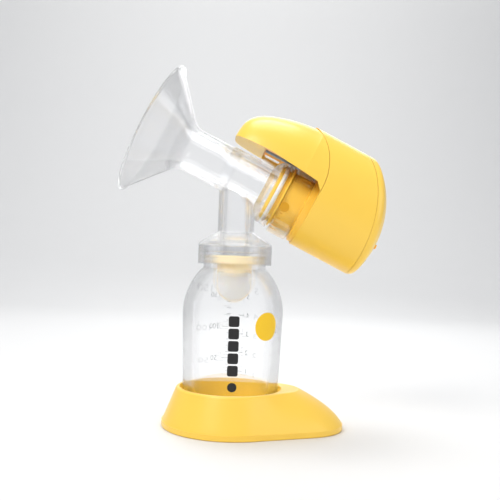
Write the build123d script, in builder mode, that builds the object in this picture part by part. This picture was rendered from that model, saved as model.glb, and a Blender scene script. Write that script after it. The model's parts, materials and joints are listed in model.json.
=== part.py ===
# Electric breast pump on a stand: bottle, clear connector, breast shield and a motor unit.
# Millimetres, +Z up. The origin is on the bottle's axis, at the flat underside of the stand.
# The pump axis slopes down towards the motor unit. Along it, u counts from the shield's rim
# and v stands square to it, upwards. Y is the sideways direction of both.
from build123d import *
import math
import os

os.makedirs("parts", exist_ok=True)

# ---------------------------------------------------------------- clearances
running_gap = 0.05      # radial play of a shaft or a piston in its bore
sliding_gap = 0.20      # radial play between parts that push together by hand
shell_gap = 0.30        # seam between two outer covers
layer_gap = 0.30        # side play between moving parts that pass each other

# ---------------------------------------------------------------- pump axis
pump_tilt = 26.0        # degrees below level, towards the motor
pump_height = 150.0     # height at which the pump axis crosses the bottle's axis
u_leg = 58.4            # where the bottle's axis crosses the pump axis

# ---------------------------------------------------------------- stand
stand_radius = 41.0
stand_height = 23.0
rim_radius = 32.0
stand_wall = 2.0
recess_radius = 30.3
recess_floor = 5.4
plate_height = 3.4
plate_inset = 0.8
tail_reach = 68.5       # tip of the tail, from the bottle's axis
tail_radius = 28.0
tail_top_reach = 41.0   # end of the tail at the height of the rim
tail_top_radius = 17.0

# ---------------------------------------------------------------- bottle
bottle_wall = 1.6
bottle_base_radius = 28.0
bottle_radius = 29.9
bottle_widest = 67.0    # height of the widest place
shoulder_curve = 37.8
neck_radius = 18.6
neck_start = 93.4
bottle_lip = 106.6
thread_height = 0.9

# ---------------------------------------------------------------- connector
collar_bottom = 96.0
collar_top = 109.3
collar_radius = 22.0
collar_cone_top = 115.3
leg_radius = 10.8
leg_bore = 7.6
spigot_radius = 9.0
spigot_end = 95.0
u_socket = 49.7         # open front end of the connector
socket_radius = 13.8
u_socket_floor = 55.7
u_skirt = 77.0          # where the rear skirt starts to widen
skirt_radius = 20.2
skirt_wall = 1.9
u_skirt_end = 87.0
tab_start = 67.7
tab_end = 76.7
tab_top = 17.6
tab_width = 9.0

# ---------------------------------------------------------------- breast shield
shield_radius = 41.0
shield_wall = 1.5
tunnel_radius = 13.2
u_cone_end = 24.0
spigot_length = 5.6      # stops short of the leg's bore
shield_spigot_radius = 11.7

# ---------------------------------------------------------------- valve
valve_radius = 10.4
valve_flange_radius = 13.5
valve_flange_top = 101.0
valve_flange_thickness = 4.6
valve_dome_height = 84.0    # centre of the rounded lower end
valve_face_tilt = 17.0      # degrees the membrane's face leans back from upright
valve_face_depth = 4.2      # how far in front of the axis the face is, at the dome's centre
membrane_thickness = 0.9

# ---------------------------------------------------------------- motor housing
housing_rise = 12.5     # the oval section's centre, above the pump axis
half_height = 34.5
half_width = 27.0
shell_wall = 2.0
u_body = 105.0          # front face of the body
u_dome = 93.4           # centre of the domed rear
dome_radius = 57.4
cover_depth = 3.0
dome_edge_round = 5.0
u_beak = 46.7           # tip of the battery cover
u_beak_full = 92.0      # where the battery cover reaches the full section
cover_wall = 1.6
skirt_front_v = 18.4    # lower edge of the battery cover at its front
skirt_rear_v = 15.0
u_skirt_step = 66.0
cover_plate = 1.2       # plate that closes the front of the battery cover below
seam_low = (u_body, 10.6)
seam_mid = (102.2, 28.0)
seam_high = (85.6, 47.6)

# ---------------------------------------------------------------- front barrel and regulator
barrel_radius = 17.0
barrel_flange_radius = 19.8
neck_ring_radius = 20.9
u_barrel = 88.6
u_barrel_flange = 101.4
u_neck_ring = 102.6
ring_radius = 21.7
ring_gap = 0.3
u_ring_end = 101.0

# ---------------------------------------------------------------- pump
cylinder_radius = 13.2
bore_radius = 11.0
u_nose = 80.9
u_cylinder_front = 86.4
u_bore = 89.2
u_cylinder_end = 112.0
flange_radius = 18.6
flange_thickness = 2.0
nose_radius = 16.4
nose_flange_radius = 18.8
seal_section = 1.3
port_radius = 2.0
piston_front = 93.5
piston_crown = 4.0
piston_length = 11.0
piston_seal_width = 2.0
piston_wall = 2.1
wrist_offset = 8.0      # wrist pin behind the piston's front face
pin_radius = 1.5
stroke = 9.0
rod_length = 24.0
rod_thickness = 4.8
rod_eye = 3.2
rod_beam = 4.0

# ---------------------------------------------------------------- gear train
gear_module = 0.5
pinion_teeth = 10
idler_large_teeth = 44
idler_small_teeth = 12
crank_teeth = 50
train_angle = 102.0     # direction from the crank to the motor, degrees from the pump axis
crank_gear_width = 3.0
stage_two_low = 6.5     # Y of the crank gear's inner face
stage_one_low = 11.5    # Y of the large idler gear's inner face
stage_one_width = 3.0
plate_low = 15.5        # Y of the chassis plate's inner face
chassis_plate = 2.0
axle_radius = 1.0
shaft_radius = 1.5
motor_shaft_radius = 0.75
motor_radius = 10.0
motor_flat = 7.55
motor_length = 23.0
motor_face = 7.5        # Y of the motor's shaft end

# ---------------------------------------------------------------- batteries and their tray
cell_radius = 7.1
cell_length = 49.0
cell_button = 1.2
cell_spacing = 14.4
u_cell = 62.0
tray_bottom = 19.9
tray_wall = 1.0
tray_relief = 0.5       # room between the regulator ring and the tray above it
pull_room = 10.5        # the tray clears the connector's skirt this far back
contact_thickness = 0.5

# ---------------------------------------------------------------- electrics
u_board = 143.4
board_thickness = 1.2
switch_depth = 3.4
knob_height = 2.7
knob_width = 6.0
knob_travel = 2.5
knob_v = 0.15
u_knob_top = 152.0
inlet_size = 8.0
inlet_y = -9.0
inlet_v = -8.5
inlet_bore = 2.75
inlet_snout = 3.6
u_inlet = 137.3
screw_radius = 1.4
screw_head = 2.3
screw_head_height = 1.5
post_radius = 3.0
screw_length = 10.0
screw_seat_depth = 1.7  # cover left between a screw's seat and the post
small_screw_radius = 1.0
small_screw_head = 1.8
chassis_screw_places = ((15.4, -3.0), (15.4, 6.0), (-15.4, 0.0))
post_top_v = 39.5
post_bottom_v = -12.5
u_post_bottom = 114.5
screw_seat_top = 131.6
screw_seat_bottom = 146.4

# ---------------------------------------------------------------- places worked out from the sizes
slope = math.radians(pump_tilt)
along = Vector(math.cos(slope), 0, -math.sin(slope))
square = Vector(math.sin(slope), 0, math.cos(slope))
rim_centre = Vector(0, 0, pump_height) - along * u_leg
pump_axis = Axis(rim_centre, along)
u_wrist = piston_front + wrist_offset
u_crank_pin = u_wrist + rod_length
u_crank = u_crank_pin + stroke / 2
seam_radius = dome_radius - cover_depth
shell_top_v = housing_rise + half_height - shell_wall / 2
shell_bottom_v = housing_rise - half_height + shell_wall / 2
cover_posts = (
    (post_top_v, u_body + shell_wall, screw_seat_top, shell_top_v),
    (post_bottom_v, u_post_bottom, screw_seat_bottom, shell_bottom_v),
)
u_flange = u_body + shell_wall
u_foot = u_flange + flange_thickness
cell_v = tray_bottom + tray_wall + cell_radius
u_cell_end = u_cell + cell_length + cell_button
large_distance = gear_module * (idler_small_teeth + crank_teeth) / 2
small_distance = gear_module * (pinion_teeth + idler_large_teeth) / 2
train = (math.cos(math.radians(train_angle)), math.sin(math.radians(train_angle)))
crank_centre = (u_crank, 0.0)
idler_centre = (u_crank + large_distance * train[0], large_distance * train[1])
motor_centre = (idler_centre[0] + small_distance * train[0], idler_centre[1] + small_distance * train[1])


def across(u, v=0.0):
    """Plane square to the pump axis: its x is Y and its y is v."""
    return Plane(origin=rim_centre + along * u + square * v, x_dir=(0, 1, 0), z_dir=along)


def beside(y):
    """Plane that holds the pump axis's direction, moved sideways: x is u, y is v, out is -Y."""
    return Plane(origin=rim_centre + Vector(0, y, 0), x_dir=along, z_dir=(0, -1, 0))


def above(v):
    """Plane along the pump axis at height v: x is u and y is Y."""
    return Plane(origin=rim_centre + square * v, x_dir=along, z_dir=square)


def place(u, v, y=0.0):
    return rim_centre + along * u + square * v + Vector(0, y, 0)


def gear_points(teeth, centre, turn):
    """Outline of a spur gear: each tooth has a root, a flank and a narrower tip."""
    pitch_radius = gear_module * teeth / 2
    root = pitch_radius - 1.25 * gear_module
    tip = pitch_radius + 0.8 * gear_module
    pitch = 360.0 / teeth
    corners = [(-0.30, root), (-0.12, tip), (0.12, tip), (0.30, root)]
    points = []
    for tooth in range(teeth):
        for share, radius in corners:
            angle = math.radians(turn + (tooth + share) * pitch)
            points.append((centre[0] + radius * math.cos(angle), centre[1] + radius * math.sin(angle)))
    return points


def save(piece, name):
    piece.part.label = name
    export_step(piece.part, f"parts/{name}.step")


# ================================================================ stand
def stand_section(height, inset=0.0):
    """Radius of the round part, then centre and radius of the tail, at one height."""
    rise = height / stand_height
    round_radius = stand_radius + (rim_radius - stand_radius) * rise - inset
    reach = tail_reach + (tail_top_reach - tail_reach) * rise ** 1.7 - inset
    end_radius = tail_radius + (tail_top_radius - tail_radius) * rise ** 1.4 - inset
    return round_radius, reach - end_radius, end_radius


def stand_outline(height, inset=0.0):
    round_radius, tail_centre, end_radius = stand_section(height, inset)
    with BuildSketch(Plane.XY.offset(height)) as outline:
        Circle(round_radius)
        with Locations((tail_centre, 0)):
            Circle(end_radius)
        make_hull()
    return outline.sketch


section_heights = [plate_height + (stand_height - plate_height) * share for share in (0, 0.3, 0.6, 0.85, 1)]
hollow_top = stand_height - stand_wall
hollow_heights = [plate_height + (hollow_top - plate_height) * share for share in (0, 0.3, 0.6, 0.85, 1)]

with BuildPart() as stand:
    loft(sections=[stand_outline(height) for height in section_heights])
    fillet(stand.faces().sort_by(Axis.Z)[-1].edges(), 1.6)
    loft(sections=[stand_outline(height, stand_wall) for height in hollow_heights], mode=Mode.SUBTRACT)
    with BuildSketch(Plane.XY.offset(plate_height)):
        Circle(recess_radius + stand_wall)
    extrude(amount=stand_height - 1.0 - plate_height)
    with BuildSketch(Plane.XY.offset(recess_floor)):
        Circle(recess_radius)
    extrude(amount=stand_height, mode=Mode.SUBTRACT)
save(stand, "stand")

with BuildPart() as stand_base_plate:
    add(stand_outline(0, plate_inset))
    extrude(amount=plate_height)
    fillet(stand_base_plate.faces().sort_by(Axis.Z)[0].edges(), 0.8)
save(stand_base_plate, "stand_base_plate")

# ================================================================ bottle
shoulder_centre = bottle_radius - shoulder_curve
shoulder_end = neck_radius + 1.2
shoulder_middle = math.radians(20)


def shoulder_point(offset, radius):
    """A point of the shoulder's arc that stands at the given radius, on an arc pulled in by offset."""
    curve = shoulder_curve - offset
    return (radius, bottle_widest + math.sqrt(curve ** 2 - (radius - shoulder_centre) ** 2))


def shoulder_mid(offset):
    curve = shoulder_curve - offset
    return (shoulder_centre + curve * math.cos(shoulder_middle),
            bottle_widest + curve * math.sin(shoulder_middle))


bottle_bottom = recess_floor
with BuildPart() as bottle:
    with BuildSketch(Plane.XZ):
        with BuildLine():
            Line((0, bottle_bottom), (bottle_base_radius - 3, bottle_bottom))
            Line((bottle_base_radius - 3, bottle_bottom), (bottle_base_radius, bottle_bottom + 4))
            Line((bottle_base_radius, bottle_bottom + 4), (bottle_radius, bottle_widest))
            ThreePointArc((bottle_radius, bottle_widest), shoulder_mid(0), shoulder_point(0, shoulder_end))
            Line(shoulder_point(0, shoulder_end), (neck_radius, neck_start + 1.2))
            Line((neck_radius, neck_start + 1.2), (neck_radius, bottle_lip))
            Line((neck_radius, bottle_lip), (0, bottle_lip))
            Line((0, bottle_lip), (0, bottle_bottom))
        make_face()
    revolve(axis=Axis.Z)
    low_edges = bottle.edges().filter_by(GeomType.CIRCLE).sort_by(Axis.Z)
    fillet(low_edges[1], 5.0)
    fillet(low_edges[0], 1.5)
    for thread in (0, 1):
        with BuildSketch(Plane.XY.offset(collar_bottom + 2.5 + thread * 3.4)):
            Circle(neck_radius + thread_height)
            Circle(neck_radius - bottle_wall / 2, mode=Mode.SUBTRACT)
        extrude(amount=1.4)
    with BuildSketch(Plane.XZ):
        inner = bottle_radius - bottle_wall
        with BuildLine():
            Line((0, bottle_bottom + bottle_wall + 1.2), (bottle_base_radius - 6, bottle_bottom + bottle_wall))
            Line((bottle_base_radius - 6, bottle_bottom + bottle_wall),
                 (bottle_base_radius - bottle_wall, bottle_bottom + 6))
            Line((bottle_base_radius - bottle_wall, bottle_bottom + 6), (inner, bottle_widest))
            ThreePointArc((inner, bottle_widest), shoulder_mid(bottle_wall),
                          shoulder_point(bottle_wall, neck_radius - bottle_wall))
            Line(shoulder_point(bottle_wall, neck_radius - bottle_wall),
                 (neck_radius - bottle_wall, bottle_lip + 1))
            Line((neck_radius - bottle_wall, bottle_lip + 1), (0, bottle_lip + 1))
            Line((0, bottle_lip + 1), (0, bottle_bottom + bottle_wall + 1.2))
        make_face()
    revolve(axis=Axis.Z, mode=Mode.SUBTRACT)
save(bottle, "bottle")

# ================================================================ connector
collar_bore = neck_radius + thread_height + sliding_gap
skirt_bore = skirt_radius - skirt_wall
u_skirt_floor = u_skirt + 3.4

with BuildPart() as connector:
    with BuildSketch(beside(0)):
        with BuildLine():
            Line((u_socket, 0), (u_socket, socket_radius))
            Line((u_socket, socket_radius), (u_skirt - 1.5, socket_radius))
            ThreePointArc((u_skirt - 1.5, socket_radius), (u_skirt + 0.6, socket_radius + 3.2),
                          (u_skirt + 3.6, skirt_radius - 0.5))
            Line((u_skirt + 3.6, skirt_radius - 0.5), (u_skirt_end, skirt_radius))
            Line((u_skirt_end, skirt_radius), (u_skirt_end, 0))
            Line((u_skirt_end, 0), (u_socket, 0))
        make_face()
    revolve(axis=pump_axis)
    with BuildSketch(Plane.XY.offset(collar_cone_top - 1)):
        Circle(leg_radius)
    extrude(amount=pump_height - collar_cone_top + 1)
    with BuildSketch(Plane.XZ):
        with BuildLine():
            Polyline((0, collar_bottom), (collar_radius, collar_bottom), (collar_radius, collar_top - 1.5),
                     (collar_radius - 1.5, collar_top), (leg_radius, collar_cone_top), (0, collar_cone_top),
                     close=True)
        make_face()
    revolve(axis=Axis.Z)
    with BuildSketch(above(0)):
        with Locations(((tab_start + tab_end) / 2, 0)):
            Rectangle(tab_end - tab_start, tab_width)
    extrude(amount=tab_top)
    # the collar's hollow, and the spigot that carries the valve inside it
    with BuildSketch(Plane.XZ):
        with BuildLine():
            Polyline((spigot_radius, collar_bottom - 1), (collar_bore, collar_bottom - 1),
                     (collar_bore, bottle_lip + layer_gap), (spigot_radius, bottle_lip + layer_gap), close=True)
        make_face()
    revolve(axis=Axis.Z, mode=Mode.SUBTRACT)
    with BuildSketch(Plane.XY.offset(spigot_end)):
        Circle(spigot_radius)
    extrude(amount=collar_bottom - spigot_end)
    # passages: shield socket, through bore, rear socket and the leg
    with BuildSketch(across(u_socket - leg_radius)):
        Circle(shield_spigot_radius + running_gap)
    extrude(amount=u_socket_floor - u_socket + leg_radius, mode=Mode.SUBTRACT)
    with BuildSketch(across(u_socket)):
        Circle(shield_spigot_radius - shield_wall)
    extrude(amount=u_skirt_floor - u_socket + 1, mode=Mode.SUBTRACT)
    with BuildSketch(across(u_skirt_floor)):
        Circle(skirt_bore)
    extrude(amount=u_skirt_end - u_skirt_floor + 1, mode=Mode.SUBTRACT)
    with BuildSketch(Plane.XY.offset(spigot_end - 1)):
        Circle(leg_bore)
    extrude(amount=pump_height - spigot_end + 1, mode=Mode.SUBTRACT)
save(connector, "connector")

# ================================================================ breast shield
u_tunnel_end = u_socket - layer_gap
with BuildPart() as breast_shield:
    with BuildSketch(beside(0)):
        with BuildLine():
            Line((0, shield_radius), (1.6, shield_radius))
            Line((1.6, shield_radius), (2.6, shield_radius - 3.6))
            Line((2.6, shield_radius - 3.6), (u_cone_end - 1, tunnel_radius + 1.2))
            Line((u_cone_end - 1, tunnel_radius + 1.2), (u_cone_end + 2.5, tunnel_radius))
            Line((u_cone_end + 2.5, tunnel_radius), (u_tunnel_end, tunnel_radius))
            Line((u_tunnel_end, tunnel_radius), (u_tunnel_end, shield_spigot_radius))
            Line((u_tunnel_end, shield_spigot_radius), (u_socket + spigot_length, shield_spigot_radius))
            Line((u_socket + spigot_length, shield_spigot_radius),
                 (u_socket + spigot_length, shield_spigot_radius - shield_wall))
            Line((u_socket + spigot_length, shield_spigot_radius - shield_wall),
                 (u_tunnel_end - 3, shield_spigot_radius - shield_wall))
            Line((u_tunnel_end - 3, shield_spigot_radius - shield_wall),
                 (u_tunnel_end - 5, tunnel_radius - shield_wall))
            Line((u_tunnel_end - 5, tunnel_radius - shield_wall), (u_cone_end, tunnel_radius - shield_wall))
            Line((u_cone_end, tunnel_radius - shield_wall), (1.2, shield_radius - 4.4))
            Line((1.2, shield_radius - 4.4), (0, shield_radius))
        make_face()
    revolve(axis=pump_axis)
    # two raised ribs along the tunnel
    for rib_v in (-6.0, 6.0):
        with BuildSketch(across(u_cone_end)):
            for rib_side in (-1, 1):
                with Locations((rib_side * math.sqrt(tunnel_radius ** 2 - rib_v ** 2), rib_v)):
                    Circle(0.6)
            Circle(tunnel_radius - shield_wall / 2, mode=Mode.SUBTRACT)
        extrude(amount=u_tunnel_end - u_cone_end - 6)
save(breast_shield, "breast_shield")

# ================================================================ valve
# The face leans back: its plane's z points out of the valve, towards -Y and down.
lean = math.radians(valve_face_tilt)
face_plane = Plane(origin=(0, -valve_face_depth, valve_dome_height), x_dir=(1, 0, 0),
                   z_dir=(0, -math.cos(lean), -math.sin(lean)))
valve_flange_bottom = valve_flange_top - valve_flange_thickness
face_top = (valve_flange_bottom - 4.6 - valve_dome_height) / math.cos(lean)

with BuildPart() as valve_head:
    with BuildSketch(Plane.XZ):
        with BuildLine():
            Line((0, valve_dome_height - valve_radius), (0, valve_flange_top))
            Line((0, valve_flange_top), (valve_flange_radius, valve_flange_top))
            Line((valve_flange_radius, valve_flange_top), (valve_flange_radius, valve_flange_bottom))
            Line((valve_flange_radius, valve_flange_bottom), (valve_radius, valve_flange_bottom))
            Line((valve_radius, valve_flange_bottom), (valve_radius, valve_dome_height))
            RadiusArc((valve_radius, valve_dome_height), (0, valve_dome_height - valve_radius), valve_radius)
        make_face()
    revolve(axis=Axis.Z)
    # the flat face that the membrane lies on
    with BuildSketch(face_plane):
        with Locations((0, face_top)):
            Rectangle(4 * valve_radius, 8 * valve_radius, align=(Align.CENTER, Align.MAX))
    extrude(amount=3 * valve_radius, mode=Mode.SUBTRACT)
    with BuildSketch(Plane.XY.offset(spigot_end - sliding_gap)):
        Circle(spigot_radius + sliding_gap)
    extrude(amount=valve_flange_top, mode=Mode.SUBTRACT)
    with BuildSketch(Plane.XY.offset(valve_dome_height + 4)):
        Circle(leg_bore - 1)
    extrude(amount=spigot_end, mode=Mode.SUBTRACT)
    with BuildSketch(face_plane):
        with Locations((0, -1.0)):
            Circle(3.2)
    extrude(amount=-6.0, mode=Mode.SUBTRACT)
    with BuildSketch(Plane.XY.offset(valve_dome_height - 1)):
        Circle(2.4)
    extrude(amount=6, mode=Mode.SUBTRACT)
save(valve_head, "valve_head")

membrane_gap = 0.05
with BuildPart() as valve_membrane:
    with BuildSketch(face_plane.offset(membrane_gap)):
        with BuildLine():
            Line((-valve_radius + 0.6, 0), (-valve_radius + 0.6, face_top - 0.4))
            Line((-valve_radius + 0.6, face_top - 0.4), (valve_radius - 0.6, face_top - 0.4))
            Line((valve_radius - 0.6, face_top - 0.4), (valve_radius - 0.6, 0))
            ThreePointArc((valve_radius - 0.6, 0), (0, -valve_radius + 0.6), (-valve_radius + 0.6, 0))
        make_face()
    extrude(amount=membrane_thickness)
    fillet(valve_membrane.edges().filter_by(GeomType.LINE).filter_by(Axis(face_plane.origin, face_plane.z_dir)), 1.6)
save(valve_membrane, "valve_membrane")

# ================================================================ housing shells
def nose_share(u):
    """How far a station is from the tip of the beak to its full section, 0 to 1."""
    return (u - u_beak) / (u_beak_full - u_beak)


def beak_section(u, inset):
    fullness = 1 - (1 - nose_share(u)) ** 1.15
    with BuildSketch(across(u + inset, housing_rise)) as section:
        Ellipse(half_width * fullness ** 0.21 - inset, half_height * fullness ** 0.204 - inset)
    return section.sketch


beak_stations = [u_beak + (u_beak_full - u_beak) * share for share in (0.004, 0.03, 0.1, 0.25, 0.5, 0.75, 1.0)]

def housing_oval(inset):
    Ellipse(half_width - inset, half_height - inset)


# posts for the two cover screws, each on a web from the shell, ending at the rear seam
with BuildPart() as posts:
    for post_v, u_post, u_seat, shell_v in cover_posts:
        with BuildSketch(across(u_post, post_v)):
            Circle(post_radius)
            with Locations((0, (shell_v - post_v) / 2)):
                Rectangle(shell_wall, abs(shell_v - post_v))
        extrude(amount=u_seat - screw_seat_depth - u_post)
        with BuildSketch(across(u_seat - screw_seat_depth - screw_length, post_v)):
            Circle(screw_radius)
        extrude(amount=screw_length, mode=Mode.SUBTRACT)
    with Locations(place(u_dome, 0)):
        Sphere(seam_radius, mode=Mode.INTERSECT)

with BuildPart() as housing_body:
    with BuildSketch(across(seam_high[0] - 4, housing_rise)):
        housing_oval(0)
    extrude(amount=2 * dome_radius)
    with Locations(place(u_dome, 0)):
        Sphere(seam_radius, mode=Mode.INTERSECT)
    with BuildSketch(beside(2 * half_width)):
        with BuildLine():
            ThreePointArc(seam_low, seam_mid, seam_high)
            Polyline(seam_high, (seam_high[0], 2 * half_height), (2 * u_body, 2 * half_height),
                     (2 * u_body, -2 * half_height), (u_body, -2 * half_height), seam_low)
        make_face()
    extrude(amount=4 * half_width, mode=Mode.INTERSECT)
    # hollow inside, closed in front up to the battery tray and open behind
    with BuildSketch(across(u_body + shell_wall, housing_rise)):
        housing_oval(shell_wall)
    extrude(amount=dome_radius, mode=Mode.SUBTRACT)
    with BuildSketch(across(seam_high[0] - 8, housing_rise)) as upper_hollow:
        housing_oval(shell_wall)
        with Locations((0, tray_bottom - housing_rise)):
            Rectangle(3 * half_width, 3 * half_height, align=(Align.CENTER, Align.MAX), mode=Mode.SUBTRACT)
    extrude(amount=dome_radius, mode=Mode.SUBTRACT)
    # barrel that the regulator ring turns on
    with BuildSketch(beside(0)):
        with BuildLine():
            Polyline((u_barrel, 0), (u_barrel, barrel_radius), (u_barrel_flange, barrel_radius),
                     (u_barrel_flange, barrel_flange_radius), (u_neck_ring, barrel_flange_radius),
                     (u_neck_ring, neck_ring_radius), (u_body + shell_wall, neck_ring_radius),
                     (u_body + shell_wall, 0), close=True)
        make_face()
    revolve(axis=pump_axis)
    with BuildSketch(across(u_barrel - 1)):
        Circle(cylinder_radius + running_gap)
    extrude(amount=u_body + shell_wall - u_barrel + 2, mode=Mode.SUBTRACT)
    add(posts.part)
    # blind holes for the chassis screws
    for screw_y, screw_v in chassis_screw_places:
        with BuildSketch(across(u_body - 2, screw_v)):
            with Locations((screw_y, 0)):
                Circle(small_screw_radius)
        extrude(amount=2 + 2 * shell_wall, mode=Mode.SUBTRACT)
save(housing_body, "housing_body")

with BuildPart() as battery_cover:
    loft(sections=[beak_section(u, 0) for u in beak_stations])
    with BuildSketch(across(u_beak_full, housing_rise)):
        housing_oval(0)
    extrude(amount=u_body - u_beak_full + 2)
    loft(sections=[beak_section(u, cover_wall) for u in beak_stations], mode=Mode.SUBTRACT)
    with BuildSketch(across(u_beak_full + cover_wall, housing_rise)):
        housing_oval(cover_wall)
    extrude(amount=u_body - u_beak_full + 2, mode=Mode.SUBTRACT)
    # side view of the cover: lower edge, hooked end and the seam
    with BuildSketch(beside(2 * half_width)):
        with BuildLine():
            ThreePointArc((seam_low[0] - shell_gap, seam_low[1]), (seam_mid[0] - shell_gap, seam_mid[1]),
                          (seam_high[0] - shell_gap, seam_high[1]))
            Polyline((seam_high[0] - shell_gap, seam_high[1]), (seam_high[0] - shell_gap, 2 * half_height),
                     (0, 2 * half_height), (0, skirt_front_v), (u_skirt_step + 3, skirt_front_v),
                     (u_body - 4.2, skirt_rear_v),
                     (seam_low[0] - shell_gap, seam_low[1]))
        make_face()
    extrude(amount=4 * half_width, mode=Mode.INTERSECT)
with BuildPart() as cover_floor:
    loft(sections=[beak_section(u, 0) for u in beak_stations])
    with BuildSketch(beside(2 * half_width)):
        with BuildLine():
            Polyline((0, skirt_front_v), (u_skirt_step, skirt_front_v),
                     (u_skirt_step, skirt_front_v + cover_plate),
                     (0, skirt_front_v + cover_plate), close=True)
        make_face()
    extrude(amount=4 * half_width, mode=Mode.INTERSECT)
battery_cover.part = battery_cover.part + cover_floor.part
save(battery_cover, "battery_cover")

with BuildPart() as cover_hollow:
    with BuildSketch(across(u_body, housing_rise)):
        housing_oval(shell_wall + 1)
    extrude(amount=dome_radius)
    with Locations(place(u_dome, 0)):
        Sphere(dome_radius - shell_wall, mode=Mode.INTERSECT)
        Sphere(seam_radius - 1, mode=Mode.SUBTRACT)
    for post_v, u_post, u_seat, shell_v in cover_posts:
        with BuildSketch(across(u_seat - 10, post_v)):
            Circle(post_radius)
        extrude(amount=20, mode=Mode.SUBTRACT)

with BuildPart() as rear_cover:
    with BuildSketch(across(u_body + 6, housing_rise)):
        housing_oval(0)
    extrude(amount=2 * dome_radius)
    with Locations(place(u_dome, 0)):
        Sphere(dome_radius, mode=Mode.INTERSECT)
    fillet(rear_cover.edges().sort_by(pump_axis)[-1:], dome_edge_round)
    with Locations(place(u_dome, 0)):
        Sphere(seam_radius + shell_gap / 2, mode=Mode.SUBTRACT)
    add(cover_hollow.part, mode=Mode.SUBTRACT)
    for post_v, u_post, u_seat, shell_v in cover_posts:
        with BuildSketch(across(u_seat - screw_length, post_v)):
            Circle(screw_radius + running_gap)
        extrude(amount=2 * screw_length, mode=Mode.SUBTRACT)
        with BuildSketch(across(u_seat, post_v)):
            Circle(screw_head + sliding_gap)
        extrude(amount=screw_length, mode=Mode.SUBTRACT)
    with BuildSketch(across(u_board, knob_v)):
        Rectangle(knob_width + knob_travel + 2 * sliding_gap, knob_height + 2 * sliding_gap)
    extrude(amount=2 * screw_length, mode=Mode.SUBTRACT)
    with BuildSketch(across(u_board, inlet_v)):
        with Locations((inlet_y, 0)):
            Circle(inlet_snout + sliding_gap)
    extrude(amount=2 * screw_length, mode=Mode.SUBTRACT)
save(rear_cover, "rear_cover")

with BuildPart() as cover_screws:
    for post_v, u_post, u_seat, shell_v in cover_posts:
        with BuildSketch(across(u_seat - screw_seat_depth - screw_length, post_v)):
            Circle(screw_radius)
        extrude(amount=screw_length + screw_seat_depth)
        with BuildSketch(across(u_seat, post_v)):
            Circle(screw_head)
        extrude(amount=screw_head_height)
        with BuildSketch(across(u_seat + screw_head_height / 2, post_v)):
            Rectangle(2.6, 0.6)
            Rectangle(0.6, 2.6)
        extrude(amount=screw_head_height, mode=Mode.SUBTRACT)
save(cover_screws, "cover_screws")

# ================================================================ pump
def turned(points):
    """Face to revolve about the pump axis, from its corners (u, radius)."""
    with BuildSketch(beside(0)) as profile:
        with BuildLine():
            Polyline(*points, close=True)
        make_face()
    return profile.sketch


with BuildPart() as pump_cylinder:
    add(turned([(u_cylinder_front, port_radius), (u_cylinder_front, cylinder_radius),
                (u_flange, cylinder_radius), (u_flange, flange_radius),
                (u_foot, flange_radius), (u_foot, cylinder_radius),
                (u_cylinder_end, cylinder_radius), (u_cylinder_end, bore_radius),
                (u_bore, bore_radius), (u_bore, port_radius)]))
    revolve(axis=pump_axis)
    for screw_y, screw_v in chassis_screw_places:
        with BuildSketch(across(u_flange - 1, screw_v)):
            with Locations((screw_y, 0)):
                Circle(small_screw_radius)
        extrude(amount=flange_thickness + 2, mode=Mode.SUBTRACT)
save(pump_cylinder, "pump_cylinder")

seal_radius = skirt_bore - running_gap - seal_section
groove_radius = seal_radius - seal_section
u_seal = (u_nose + u_skirt_end) / 2
u_nose_end = u_barrel - layer_gap
with BuildPart() as nose_cap:
    add(turned([(u_nose, port_radius), (u_nose, nose_radius - 1), (u_nose + 1, nose_radius),
                (u_seal - seal_section, nose_radius), (u_seal - seal_section, groove_radius),
                (u_seal + seal_section, groove_radius), (u_seal + seal_section, nose_radius),
                (u_skirt_end + layer_gap, nose_radius), (u_skirt_end + layer_gap, nose_flange_radius),
                (u_nose_end, nose_flange_radius), (u_nose_end, cylinder_radius),
                (u_cylinder_front, cylinder_radius), (u_cylinder_front, port_radius)]))
    revolve(axis=pump_axis)
save(nose_cap, "nose_cap")

with BuildPart() as nose_seal:
    with BuildSketch(beside(0)):
        with Locations((u_seal, seal_radius)):
            Circle(seal_section)
    revolve(axis=pump_axis)
save(nose_seal, "nose_seal")

ring_bore = barrel_radius + ring_gap
ring_web = 1.5
ring_wall = 1.8
with BuildPart() as regulator_ring:
    add(turned([(u_barrel + ring_gap, ring_bore), (u_barrel + ring_gap, ring_radius - 0.6),
                (u_barrel + ring_gap + 0.6, ring_radius), (u_ring_end - 0.6, ring_radius),
                (u_ring_end, ring_radius - 0.6), (u_ring_end, ring_bore),
                (u_ring_end - ring_web, ring_bore), (u_ring_end - ring_web, ring_radius - ring_wall),
                (u_barrel + ring_gap + ring_web, ring_radius - ring_wall),
                (u_barrel + ring_gap + ring_web, ring_bore)]))
    revolve(axis=pump_axis)
save(regulator_ring, "regulator_ring")

piston_radius = bore_radius - 0.4
u_piston_seal = piston_front + (piston_crown - piston_seal_width) / 2
piston_groove = piston_radius - 1.6
with BuildPart() as piston:
    add(turned([(piston_front, 0), (piston_front, piston_radius),
                (u_piston_seal, piston_radius), (u_piston_seal, piston_groove),
                (u_piston_seal + piston_seal_width, piston_groove),
                (u_piston_seal + piston_seal_width, piston_radius),
                (piston_front + piston_length, piston_radius),
                (piston_front + piston_length, piston_radius - piston_wall),
                (piston_front + piston_crown, piston_radius - piston_wall),
                (piston_front + piston_crown, 0)]))
    revolve(axis=pump_axis)
    with BuildSketch(beside(2 * bore_radius)):
        with Locations((u_wrist, 0)):
            Circle(pin_radius)
    extrude(amount=4 * bore_radius, mode=Mode.SUBTRACT)
save(piston, "piston")

with BuildPart() as piston_seal:
    add(turned([(u_piston_seal, piston_groove), (u_piston_seal, bore_radius - running_gap),
                (u_piston_seal + piston_seal_width, bore_radius - running_gap),
                (u_piston_seal + piston_seal_width, piston_groove)]))
    revolve(axis=pump_axis)
save(piston_seal, "piston_seal")


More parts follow.
